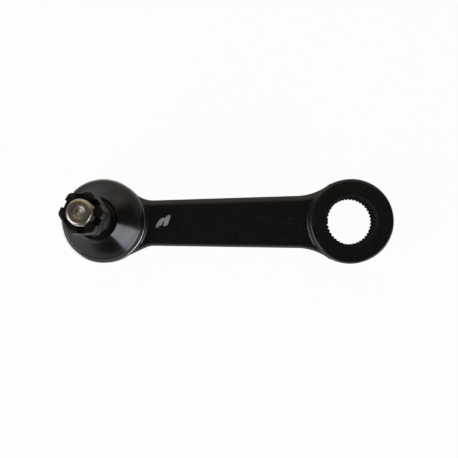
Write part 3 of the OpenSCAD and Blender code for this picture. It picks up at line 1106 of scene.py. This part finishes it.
@dataclass
class BallJoint:
    """The ball stud, its nut, the boot with its two rings, and the cover under the housing."""

    length: float = 156.0
    ball_z: float = 7.5
    ball_r: float = 13.94
    lean: float = 8.6
    lean_dir: float = 159.0
    neck_r: float = 7.75
    neck_end: float = 16.5
    taper_r: float = 9.5
    taper_start: float = 24.5
    taper_end: float = 45.1
    taper_small_r: float = 8.47
    thread_r: float = 8.0
    pitch: float = 1.5
    stud_top: float = 68.85
    end_round: float = 2.0
    centre_r: float = 3.2
    dimple: float = 2.3
    pin_r: float = 2.0
    nut_af: float = 24.0
    nut_base: float = 45.3
    nut_h: float = 19.0
    slot_floor: float = 13.0
    slot_w: float = 4.5
    nut_turn: float = 2.0
    base_bevel: float = 0.4
    corner_turned: float = 0.45
    shoulder_h: float = 7.5
    spigot_r: float = 21.2
    boot_foot_r: float = 25.6
    foot_bend: float = 1.6
    bend_span: tuple[float, float] = (10.4, 18.3)
    boot_top_r: float = 14.0
    boot_top_h: float = 24.0
    wire_r: float = 0.9
    wire_ring_r: float = 25.35
    wire_ring_h: float = 8.9

    def at_ball(self) -> Matrix:
        """The place of the ball's centre, in metres."""
        return Matrix.Translation((-self.length * MM, 0, self.ball_z * MM))

    def on_stud(self) -> Matrix:
        """The stud's own frame: its Z runs along the stud from the ball's centre, with no spin about it."""
        turn = Matrix.Rotation(math.radians(self.lean_dir), 4, "Z")
        tip = Matrix.Rotation(math.radians(self.lean), 4, "Y")
        return self.at_ball() @ turn @ tip @ turn.inverted()

    def thread(self) -> Obj:
        """The rolled thread: one tooth's outline wound up the stud, with its two ends closed.

        Returns:
            The threaded bar, longer than the stud's own thread at both ends.
        """
        root = self.thread_r - 0.61 * self.pitch
        bottom = self.taper_end - 2 * self.pitch
        turns = math.ceil((self.stud_top - bottom) / self.pitch) + 1
        tooth = [
            (root, bottom),
            (root, bottom + self.pitch / 8),
            (self.thread_r, bottom + self.pitch * 7 / 16),
            (self.thread_r, bottom + self.pitch * 9 / 16),
            (root, bottom + self.pitch * 7 / 8),
            (root, bottom + self.pitch),
        ]
        deselect_all()
        bpy.ops.mesh.primitive_plane_add(size=MM, location=(tooth[0][0] * MM, 0, tooth[0][1] * MM))
        bar = begin("thread")
        with editing(bar):
            bpy.ops.mesh.select_all(action="SELECT")
            bpy.ops.mesh.merge(type="CENTER")
            for here, there in zip(tooth, tooth[1:]):
                step = ((there[0] - here[0]) * MM, 0, (there[1] - here[1]) * MM)
                bpy.ops.mesh.extrude_region_move(TRANSFORM_OT_translate={"value": step})
        modify(
            bar,
            "SCREW",
            angle=2 * math.pi,
            screw_offset=self.pitch * MM,
            iterations=turns,
            steps=48,
            render_steps=48,
        )
        middle = bottom + turns * self.pitch / 2
        with editing(bar):
            bpy.ops.mesh.select_all(action="SELECT")
            bpy.ops.mesh.remove_doubles(threshold=1e-6)
            for lower in (True, False):
                bpy.ops.mesh.select_mode(type="EDGE")
                bpy.ops.mesh.select_all(action="DESELECT")
                self.select_open_end(bar, lower, middle)
                bpy.ops.mesh.extrude_region_move(TRANSFORM_OT_translate={"value": (0, 0, 0)})
                bpy.ops.mesh.merge(type="CENTER")
                bpy.ops.mesh.select_mode(type="VERT")
            bpy.ops.mesh.select_all(action="SELECT")
            bpy.ops.mesh.normals_make_consistent(inside=False)
        return bar

    @staticmethod
    def select_open_end(bar: Obj, lower: bool, middle: float) -> None:
        """Selects the open edges at one end of a bar in edit mode.

        Args:
            bar: The bar.
            lower: Whether it is the lower end.
            middle: Height of the bar's middle.
        """
        mesh = bmesh.from_edit_mesh(bar.data)
        for edge in mesh.edges:
            below = edge.verts[0].co.z / MM < middle
            edge.select = edge.is_boundary and below == lower
        bmesh.update_edit_mesh(bar.data)

    def stud(self, steel: bpy.types.Material, painted_shade_end: bpy.types.Material, drilled: bpy.types.Material) -> Obj:
        """The ball stud: ball with its flat, neck, sealing land, taper, thread and centre-drilled end.

        Args:
            steel: Its finish.
            painted_shade_end: A darker copy of the stud's steel for its flat end, as painted shade.
            drilled: The duller finish of the drilled centre.

        Returns:
            The finished stud.
        """
        flat = -self.ball_r + 1
        flat_angle = math.degrees(math.asin(flat / self.ball_r))
        neck_angle = math.degrees(math.acos((self.neck_r + 0.4) / self.ball_r))
        low_part = [(0, flat)]
        low_part += arc((0, 0), self.ball_r, flat_angle, neck_angle, 40)
        low_part += [
            (self.neck_r + 0.1, self.ball_r * math.sin(math.radians(neck_angle)) + 0.5),
            (self.neck_r, self.ball_r * math.sin(math.radians(neck_angle)) + 1.2),
            (self.neck_r, self.neck_end),
            (self.taper_r - 0.3, self.taper_start - 5.3),
            (self.taper_r, self.taper_start - 4.8),
            (self.taper_r, self.taper_start),
            (self.taper_small_r, self.taper_end - 0.1),
            (self.thread_r - 1.2, self.taper_end + 0.1),
            (0, self.taper_end + 0.1),
        ]
        stud = turn_profile("turned_stud", low_part, 96)
        drill_r = self.centre_r
        envelope = [(0, self.taper_end - 0.6), (self.thread_r + 0.5, self.taper_end - 0.6)]
        envelope += [(self.thread_r + 0.5, self.stud_top - 3)]
        envelope += arc(
            (self.thread_r - self.end_round, self.stud_top - self.end_round), self.end_round, 0, 90, 8
        )
        envelope += [(drill_r + 0.5, self.stud_top), (drill_r + 0.1, self.stud_top - 0.15)]
        for i in range(1, 8):
            share = i / 8
            envelope.append((drill_r * (1 - share), self.stud_top - 0.2 - self.dimple * (1 - (1 - share) ** 2)))
        envelope.append((0, self.stud_top - 0.2 - self.dimple))
        thread = combine(self.thread(), turn_profile("stud_end", envelope, 96), Cut.KEEP_COMMON)
        combine(stud, thread, Cut.WELD)
        deselect_all()
        bpy.ops.mesh.primitive_cylinder_add(
            vertices=32,
            radius=self.pin_r * MM,
            depth=30 * MM,
            location=(0, 0, (self.nut_base + self.slot_floor + self.pin_r + 0.4) * MM),
            rotation=(math.radians(90), 0, math.radians(self.nut_turn + 30 + 90)),
        )
        combine(stud, begin("pin_drill"), Cut.REMOVE)
        smooth(wear(stud, steel), 32)
        stud.data.materials.append(painted_shade_end)
        stud.data.materials.append(drilled)
        # The flat end takes the darker copy of the steel, which is painted shade; the drilled centre takes a rougher
        # steel.
        for face in stud.data.polygons:
            middle = face.center / MM
            if middle.z > self.stud_top - 2 * self.dimple and math.hypot(middle.x, middle.y) < drill_r + 0.2:
                face.material_index = 2
            elif middle.z > self.stud_top - 1 and face.normal.z > 0.9:
                face.material_index = 1
        place(stud, self.on_stud())
        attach(stud, Body.STUD.value)
        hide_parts("ball_stud")
        return stud

    def nut(self, oxide: bpy.types.Material, painted_shade_oxide: bpy.types.Material) -> Obj:
        """The slotted nut: a hexagon with coned ends, six slots cut across it and softened edges.

        Args:
            oxide: Its finish.
            painted_shade_oxide: A darker copy of its oxide finish for its coned end and its slots, as painted shade.

        Returns:
            The finished nut.
        """
        half = self.nut_af / 2
        corner = half / math.cos(math.radians(30))
        crown_r = half * 0.95
        crown_slope = math.tan(math.radians(30))
        bevel = (corner - crown_r) * crown_slope
        turned_r = corner - self.corner_turned
        deselect_all()
        bpy.ops.mesh.primitive_cylinder_add(
            vertices=6,
            radius=corner * MM,
            depth=self.nut_h * MM,
            location=(0, 0, self.nut_h / 2 * MM),
            rotation=(0, 0, math.radians(30)),
        )
        nut = begin("slotted_hex_nut")
        cut_slope = math.tan(math.radians(30))
        over = 2.0
        cones = [
            (0, -over),
            (corner - (self.base_bevel + over) / cut_slope, -over),
            (corner + 0.1, self.base_bevel + 0.1 * cut_slope),
            (turned_r, self.nut_h - bevel + (corner - turned_r) * crown_slope),
            (crown_r - over / crown_slope, self.nut_h + over),
            (0, self.nut_h + over),
        ]
        combine(nut, turn_profile("nut_cones", cones, 96), Cut.KEEP_COMMON)
        for k in range(3):
            deselect_all()
            bpy.ops.mesh.primitive_cube_add(
                size=1,
                location=(0, 0, (self.slot_floor + self.nut_h / 2) * MM),
                rotation=(0, 0, math.radians(30 + 60 * k)),
                scale=(40 * MM, self.slot_w * MM, self.nut_h * MM),
            )
            combine(nut, begin("slot_tool"), Cut.REMOVE)
        combine(nut, drill("nut_bore", self.thread_r + 0.05, -1, self.nut_h + 1), Cut.REMOVE)
        modify(nut, "BEVEL", width=0.35 * MM, segments=3, limit_method="ANGLE", angle_limit=math.radians(28))
        nut.data.materials.clear()
        nut.data.materials.append(oxide)
        nut.data.materials.append(painted_shade_oxide)
        # The crown and the slot walls and floors take the darker copy of the oxide: painted shade.
        for face in nut.data.polygons:
            middle = face.center / MM
            outside = abs(face.normal.z) < 0.3 and math.hypot(middle.x, middle.y) > half - 0.3
            if middle.z > self.slot_floor - 0.1 and not outside:
                face.material_index = 1
        spin = Matrix.Rotation(math.radians(self.nut_turn), 4, "Z")
        place(nut, self.on_stud() @ Matrix.Translation((0, 0, self.nut_base * MM)) @ spin)
        smooth(nut, 35)
        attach(nut, Body.STUD.value)
        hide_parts("slotted_nut")
        return nut

    def boot(self, rubber: bpy.types.Material) -> Obj:
        """The dust boot: turned upright with its wall thickness, then leaned over ring by ring.

        Args:
            rubber: Its finish.

        Returns:
            The finished boot, which bends between the housing and the stud.
        """
        spigot = self.spigot_r + 0.1
        foot_h = self.wire_ring_h + self.wire_r + 0.4
        bead = self.spigot_r - 0.9 + 0.1
        top_h = self.boot_top_h
        lip_h = top_h - 3
        neck = self.taper_r + 0.1
        pocket = self.taper_r + 0.7 + 2.6 + 0.05
        wall = 1.5
        rise, run = top_h - 0.8 - foot_h, self.boot_foot_r - self.boot_top_r
        slant = math.hypot(rise, run)
        inner_top = (self.boot_top_r - wall * rise / slant - 0.6, lip_h - 1.1)
        profile = [(spigot, self.shoulder_h + 0.05), (self.boot_foot_r - 0.6, self.shoulder_h + 0.05)]
        profile += arc((self.wire_ring_r, self.wire_ring_h), self.wire_r + 0.05, 250, 110, 8)
        profile += arc((self.boot_foot_r - 0.35, foot_h + 0.05), 0.35, -60, 50, 3)
        steps = 12
        bend_r = self.boot_foot_r - self.foot_bend
        bend_h = foot_h + 1.4 * self.foot_bend
        for i in range(1, 5):
            share = math.sin(math.radians(22.5 * i))
            profile.append((bend_r + self.foot_bend * (1 - share) ** 0.8, foot_h + 1.4 * self.foot_bend * share))
        for i in range(1, steps):
            share = i / steps
            profile.append(
                (
                    bend_r + (self.boot_top_r - bend_r) * share,
                    bend_h + (top_h - 0.8 - bend_h) * share,
                )
            )
        profile += arc((self.boot_top_r - 0.75, top_h - 0.75), 0.75, 40, 90, 4)
        profile += [
            (neck + 0.5, top_h),
            (neck, top_h - 0.4),
            (neck, lip_h + 0.05),
            (pocket, lip_h + 0.05),
            (pocket, lip_h - 1.1),
        ]
        for i in range(0, steps + 1):
            share = i / steps
            profile.append(
                (
                    inner_top[0] + (spigot - inner_top[0]) * share,
                    inner_top[1] + (self.shoulder_h + 4 - inner_top[1]) * share,
                )
            )
        profile += [
            (spigot, self.shoulder_h + 3.2),
            (bead, self.shoulder_h + 2.9),
            (bead, self.shoulder_h + 1.6),
            (spigot, self.shoulder_h + 1.3),
        ]
        boot = turn_profile("rubber_boot", profile, 128, ring=True)
        self.lean_rings(boot, foot_h + 0.3, lip_h - 1.2)
        turn = Matrix.Rotation(math.radians(self.lean_dir), 4, "Z")
        place(boot, self.at_ball() @ turn)
        smooth(wear(boot, rubber), 40)
        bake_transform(boot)
        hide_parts("dust_boot")
        return boot

    def lean_rings(self, boot: Obj, low: float, high: float) -> None:
        """Leans each ring of the upright boot towards +X by its share of the stud's lean.

        Args:
            boot: The upright boot, with heights from the ball's centre.
            low: Height below which it stays upright.
            high: Height above which it follows the stud.
        """
        rings: dict[float, list[int]] = {}
        for vertex in boot.data.vertices:
            share = min(max((vertex.co.z / MM - low) / (high - low), 0.0), 1.0)
            if share > 0:
                rings.setdefault(round(share, 3), []).append(vertex.index)
        with editing(boot):
            for share, chosen in rings.items():
                mesh = bmesh.from_edit_mesh(boot.data)
                mesh.verts.ensure_lookup_table()
                bpy.ops.mesh.select_all(action="DESELECT")
                for index in chosen:
                    mesh.verts[index].select = True
                mesh.select_flush_mode()
                bmesh.update_edit_mesh(boot.data)
                bpy.ops.transform.rotate(
                    value=-math.radians(self.lean * share),
                    orient_axis="Y",
                    orient_type="GLOBAL",
                    center_override=(0, 0, 0),
                )

    def clamp_ring(self, wire: bpy.types.Material) -> Obj:
        """The open wire ring that presses the boot's foot into the spigot's groove.

        Args:
            wire: Its finish.

        Returns:
            The finished ring.
        """
        deselect_all()
        bpy.ops.mesh.primitive_torus_add(
            major_segments=160,
            minor_segments=20,
            major_radius=self.wire_ring_r * MM,
            minor_radius=self.wire_r * MM,
            location=(0, 0, self.wire_ring_h * MM),
        )
        ring = begin("boot_clamp_wire")
        deselect_all()
        bpy.ops.mesh.primitive_cube_add(
            size=1,
            location=(self.wire_ring_r * math.cos(2.4) * MM, self.wire_ring_r * math.sin(2.4) * MM, self.wire_ring_h * MM),
            rotation=(0, 0, 2.4),
            scale=(6 * MM, 1.6 * MM, 6 * MM),
        )
        combine(ring, begin("ring_gap"), Cut.REMOVE)
        modify(ring, "BEVEL", width=0.2 * MM, segments=2, limit_method="ANGLE", angle_limit=math.radians(50))
        place(ring, self.at_ball())
        smooth(wear(ring, wire), 40)
        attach(ring, Body.ARM.value)
        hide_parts("boot_clamp_ring")
        return ring

    def cover(self, paint: bpy.types.Material) -> Obj:
        """The pressed cover under the housing, with its dished middle.

        Args:
            paint: Its finish.

        Returns:
            The finished cover.
        """
        top, foot, dish, edge_r, cover_r = -16.5, -18.9, 0.9, 10.5, 19.4
        profile = [(0, top - dish), (edge_r - 0.6, top - dish), (edge_r + 0.2, top - dish + 0.15)]
        profile += [(edge_r + 1.8, top - 0.1), (edge_r + 2.6, top), (cover_r - 0.3, top), (cover_r, top - 0.3)]
        profile += [(cover_r, foot + 0.3), (cover_r - 0.3, foot), (edge_r + 2.6, foot), (edge_r + 1.8, foot - 0.1)]
        profile += [(edge_r + 0.2, foot - dish + 0.15), (edge_r - 0.6, foot - dish), (0, foot - dish)]
        cover = turn_profile("pressed_cover", profile, 96)
        place(cover, self.at_ball())
        smooth(wear(cover, paint), 30)
        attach(cover, Body.ARM.value)
        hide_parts("end_cover")
        return cover


@dataclass
class Studio:
    """Floor, world, lamps and camera."""

    floor_z: float = -14.05
    middle: tuple[float, float, float] = (-78.0, 0.0, 0.0)
    camera_at: tuple[float, float, float] = (-83.95, -21.95, 871.2)
    camera_turn: tuple[float, float, float] = (1.131, -0.44, -0.035)
    lens_px: float = 1365.0
    width_px: float = 458.0
    room: float = 0.06
    warm_wall: float = 0.92
    # Reflections see a painted pool of light on the floor, and a painted shadow around the arm.
    pool_at: tuple[float, float] = (-100.0, 60.0)
    pool_r: tuple[float, float] = (190.0, 330.0)
    pool_level: tuple[float, float] = (0.55, 0.12)
    painted_shadow_half: tuple[float, float] = (150.0, 70.0)
    painted_shadow_share: float = 0.2

    def shown_white(self, tree: bpy.types.NodeTree, mirrored: bpy.types.NodeSocket) -> bpy.types.NodeSocket:
        """How white the floor shows: all but fully to the camera, and to mirrors and glass as a painted pool of light
        with a painted shadow around the arm.

        Args:
            tree: The tree that gets the nodes.
            mirrored: How white it shows to glossy and transmission rays: the painted pool of light and painted shadow.

        Returns:
            The share of plain white.
        """
        path = add_node(tree, "ShaderNodeLightPath")
        bounced = add_node(
            tree,
            "ShaderNodeMath",
            {0: path.outputs["Is Glossy Ray"], 1: path.outputs["Is Transmission Ray"]},
            operation="MAXIMUM",
        )
        pool = add_node(tree, "ShaderNodeMath", {0: bounced.outputs[0], 1: mirrored}, operation="MULTIPLY")
        straight = add_node(
            tree,
            "ShaderNodeMath",
            {0: path.outputs["Is Camera Ray"], 1: 0.97},
            operation="MULTIPLY",
        )
        both = add_node(tree, "ShaderNodeMath", {0: pool.outputs[0], 1: straight.outputs[0]}, operation="MAXIMUM")
        return both.outputs[0]

    def floor(self) -> Obj:
        """The pale floor, which shows white and keeps a faint shadow. Its reflections carry a painted pool of light and
        a painted shadow around the arm.
        """
        deselect_all()
        bpy.ops.mesh.primitive_plane_add(size=6, location=(self.middle[0] * MM, 0, self.floor_z * MM))
        floor = begin("floor")
        material, tree, shader, place_on = new_material("floor_white")
        shader.inputs["Base Color"].default_value = linear("#e6e6e6")
        shader.inputs["Roughness"].default_value = 0.9
        shader.inputs["Specular IOR Level"].default_value = 0.0
        centred = add_node(
            tree,
            "ShaderNodeVectorMath",
            {
                0: place_on.outputs["Object"],
                1: (self.pool_at[0] * MM, self.pool_at[1] * MM, self.floor_z * MM),
            },
            operation="DISTANCE",
        )
        # Painted light: the floor shows whitest to reflections near one place, fading away from it.
        pool = add_node(
            tree,
            "ShaderNodeMapRange",
            {
                "Value": centred.outputs["Value"],
                "From Min": self.pool_r[0] * MM,
                "From Max": self.pool_r[1] * MM,
                "To Min": self.pool_level[0],
                "To Max": self.pool_level[1],
            },
            interpolation_type="SMOOTHSTEP",
        )
        # Painted shadow: the floor shows less white to reflections within an oval around the arm.
        local = add_node(
            tree,
            "ShaderNodeMapping",
            {
                "Vector": place_on.outputs["Object"],
                "Location": (self.middle[0] * MM, 0, self.floor_z * MM),
                "Scale": (self.painted_shadow_half[0] * MM, self.painted_shadow_half[1] * MM, 1),
            },
            vector_type="TEXTURE",
        )
        from_arm = add_node(tree, "ShaderNodeVectorMath", {0: local.outputs[0]}, operation="LENGTH")
        painted_shadow_ramp = add_node(
            tree,
            "ShaderNodeMapRange",
            {"Value": from_arm.outputs["Value"], "From Min": 1.0, "From Max": 1.35, "To Min": self.painted_shadow_share},
            interpolation_type="SMOOTHSTEP",
        )
        mirrored = add_node(
            tree,
            "ShaderNodeMath",
            {0: pool.outputs[0], 1: painted_shadow_ramp.outputs[0]},
            operation="MULTIPLY",
        )
        white = add_node(tree, "ShaderNodeEmission", {"Color": (1, 1, 1, 1), "Strength": 1.0})
        mixed = add_node(
            tree,
            "ShaderNodeMixShader",
            {0: self.shown_white(tree, mirrored.outputs[0]), 1: shader.outputs[0], 2: white.outputs[0]},
        )
        tree.links.new(mixed.outputs[0], tree.nodes["Material Output"].inputs["Surface"])
        wear(floor, material)
        return floor

    def world(self) -> None:
        """A dim room with a warm wall on the +Y side. It shows white to the camera only."""
        world = bpy.data.worlds.new("soft_room")
        bpy.context.scene.world = world
        world.use_nodes = True
        tree = world.node_tree
        background = tree.nodes["Background"]
        toward = add_node(tree, "ShaderNodeTexCoord")
        level_way = add_node(
            tree,
            "ShaderNodeVectorMath",
            {0: toward.outputs["Generated"], 1: (1, 1, 0)},
            operation="MULTIPLY",
        )
        reach = add_node(tree, "ShaderNodeVectorMath", {0: level_way.outputs[0]}, operation="LENGTH")
        low = add_node(
            tree,
            "ShaderNodeMapRange",
            {"Value": reach.outputs["Value"], "From Min": 0.1, "From Max": 0.66},
            interpolation_type="SMOOTHSTEP",
        )
        straight = add_node(tree, "ShaderNodeVectorMath", {0: level_way.outputs[0]}, operation="NORMALIZE")
        parts = add_node(tree, "ShaderNodeSeparateXYZ", {0: straight.outputs[0]})
        facing = add_node(
            tree,
            "ShaderNodeMapRange",
            {"Value": parts.outputs["Y"], "From Min": 0.42, "From Max": 0.97},
            interpolation_type="SMOOTHSTEP",
        )
        beside = add_node(
            tree,
            "ShaderNodeMath",
            {0: low.outputs[0], 1: facing.outputs[0]},
            operation="MULTIPLY",
        )
        level = add_node(
            tree,
            "ShaderNodeMapRange",
            {"Value": beside.outputs[0], "To Min": self.room, "To Max": self.warm_wall},
        )
        tint = add_node(
            tree,
            "ShaderNodeMix",
            {0: beside.outputs[0], 6: linear("#fbf4ea"), 7: linear("#fff0dc")},
            data_type="RGBA",
        )
        path = add_node(tree, "ShaderNodeLightPath")
        shown_level = add_node(
            tree,
            "ShaderNodeMix",
            {0: path.outputs["Is Camera Ray"], 2: level.outputs[0], 3: 1.0},
            data_type="FLOAT",
        )
        shown_colour = add_node(
            tree,
            "ShaderNodeMix",
            {0: path.outputs["Is Camera Ray"], 6: tint.outputs[2], 7: (1, 1, 1, 1)},
            data_type="RGBA",
        )
        tree.links.new(shown_level.outputs[0], background.inputs["Strength"])
        tree.links.new(shown_colour.outputs[2], background.inputs["Color"])

    def lamp(self, name: str, azimuth: float, height: float, away: float, size: tuple[float, float], power: float, colour: str) -> Obj:
        """One softbox that faces the arm.

        Args:
            name: The lamp's name.
            azimuth: Its direction from the arm's middle, anticlockwise from +X, in degrees.
            height: Its elevation, in degrees.
            away: Its distance, in metres.
            size: Its width and height, in metres.
            power: Its radiance.
            colour: Its colour.

        Returns:
            The lamp.
        """
        deselect_all()
        flat = math.cos(math.radians(height)) * away
        middle = Vector(self.middle) * MM
        at = middle + Vector(
            (
                flat * math.cos(math.radians(azimuth)),
                flat * math.sin(math.radians(azimuth)),
                math.sin(math.radians(height)) * away,
            )
        )
        bpy.ops.object.light_add(type="AREA", location=at)
        lamp = bpy.context.active_object
        lamp.name = name
        lamp.data.shape = "RECTANGLE"
        lamp.data.size, lamp.data.size_y = size
        lamp.data.energy = power * math.pi * size[0] * size[1]
        lamp.data.color = linear(colour)[:3]
        lamp.rotation_euler = (middle - at).to_track_quat("-Z", "Y").to_euler()
        return lamp

    def light(self) -> None:
        """Hangs the softboxes."""
        self.lamp("right_softbox", -37, 12, 1.0, (0.78, 0.5), 4.8, "#f0f5ff")
        self.lamp("left_softbox", 207, 26, 1.0, (0.78, 0.9), 3.8, "#eaf1ff")

    def camera(self) -> Obj:
        """The camera, where the photograph's perspective puts it."""
        deselect_all()
        bpy.ops.object.camera_add()
        camera = bpy.context.active_object
        turns = [math.radians(a) for a in self.camera_turn]
        turn = (
            Matrix.Rotation(turns[2], 4, "Z")
            @ Matrix.Rotation(turns[1], 4, "Y")
            @ Matrix.Rotation(turns[0], 4, "X")
        )
        camera.matrix_world = Matrix.Translation(Vector(self.camera_at) * MM) @ turn
        camera.data.sensor_fit = "HORIZONTAL"
        camera.data.sensor_width = 36
        camera.data.lens = 36 * self.lens_px / self.width_px
        camera.data.clip_start = 0.01
        bpy.context.scene.camera = camera
        return camera

    def build(self) -> None:
        """Sets the whole stage."""
        self.floor()
        self.world()
        self.light()
        self.camera()
        bpy.context.scene.view_settings.view_transform = "Standard"


def dress_cad_nodes(resin: bpy.types.Material, spring: bpy.types.Material, ring: bpy.types.Material) -> None:
    """Gives the pieces inside the joint, whose CAD shapes are kept, their finishes.

    Args:
        resin: For the two seats.
        spring: For the disc spring.
        ring: For the ring in the boot's neck.
    """
    for name, material, slot in (
        ("upper_seat", resin, "seat_plastic"),
        ("lower_seat", resin, "seat_plastic"),
        ("preload_spring", spring, "spring_steel"),
        ("boot_neck_ring", ring, "ring_steel"),
    ):
        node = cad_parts[name]
        wear(node, material)
        log.info("dressed %s", name)


def main() -> None:
    """Builds every piece in order and sets the stage."""
    logging.basicConfig(level=logging.INFO, format="%(name)s: %(message)s")
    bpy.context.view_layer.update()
    paint = ForgingPaint().build()
    side_paint = ForgingPaint("black_enamel_on_drafted_side", roughness=0.5, specular=0.65)
    joint = BallJoint()
    stud_steel = Steel("turned_stud_steel", "#b9b0a3", "#958c81", 0.32, mottle_mm=3.0, grain_depth_mm=0.004)
    # The stud's steel again, darker, for its flat end: painted shade.
    painted_shade_end = Steel("stud_steel_painted_shade_end", "#978d80", "#786f65", 0.3, mottle_mm=3.0, grain_depth_mm=0.004)
    drilled = Steel("drilled_centre_steel", "#b3aa9d", "#857c71", 0.56, mottle_mm=3.0, grain_depth_mm=0.004)
    oxide = Steel("black_oxide_steel", "#47423d", "#34302c", 0.36, metallic=0.85, grain_depth_mm=0.012)
    # The nut's oxide again, darker, for its crown and slots: painted shade.
    painted_shade_oxide = Steel("black_oxide_steel_painted_shade", "#2f2721", "#211b17", 0.38, metallic=0.85, grain_depth_mm=0.012)
    wire = Steel("bright_spring_wire", "#b2b0ad", "#8d8b88", 0.2, grain_depth_mm=0.003)
    zinc = Steel("plated_ring_steel", "#b4b3ae", "#93918b", 0.3)
    spring = Steel("blued_spring_steel", "#4c5560", "#3a3d44", 0.3)
    pieces = [
        ArmForging().make(paint, side_paint.build(), BroachedBore().build()),
        joint.stud(stud_steel.build(), painted_shade_end.build(), drilled.build()),
        joint.nut(oxide.build(), painted_shade_oxide.build()),
        joint.boot(BootRubber().build()),
        joint.clamp_ring(wire.build()),
        joint.cover(paint),
    ]
    for piece in pieces:
        log.info("made %s with %d faces", piece.name, len(piece.data.polygons))
    dress_cad_nodes(SeatResin().build(), spring.build(), zinc.build())
    Studio().build()


if __name__ == "__main__":
    main()
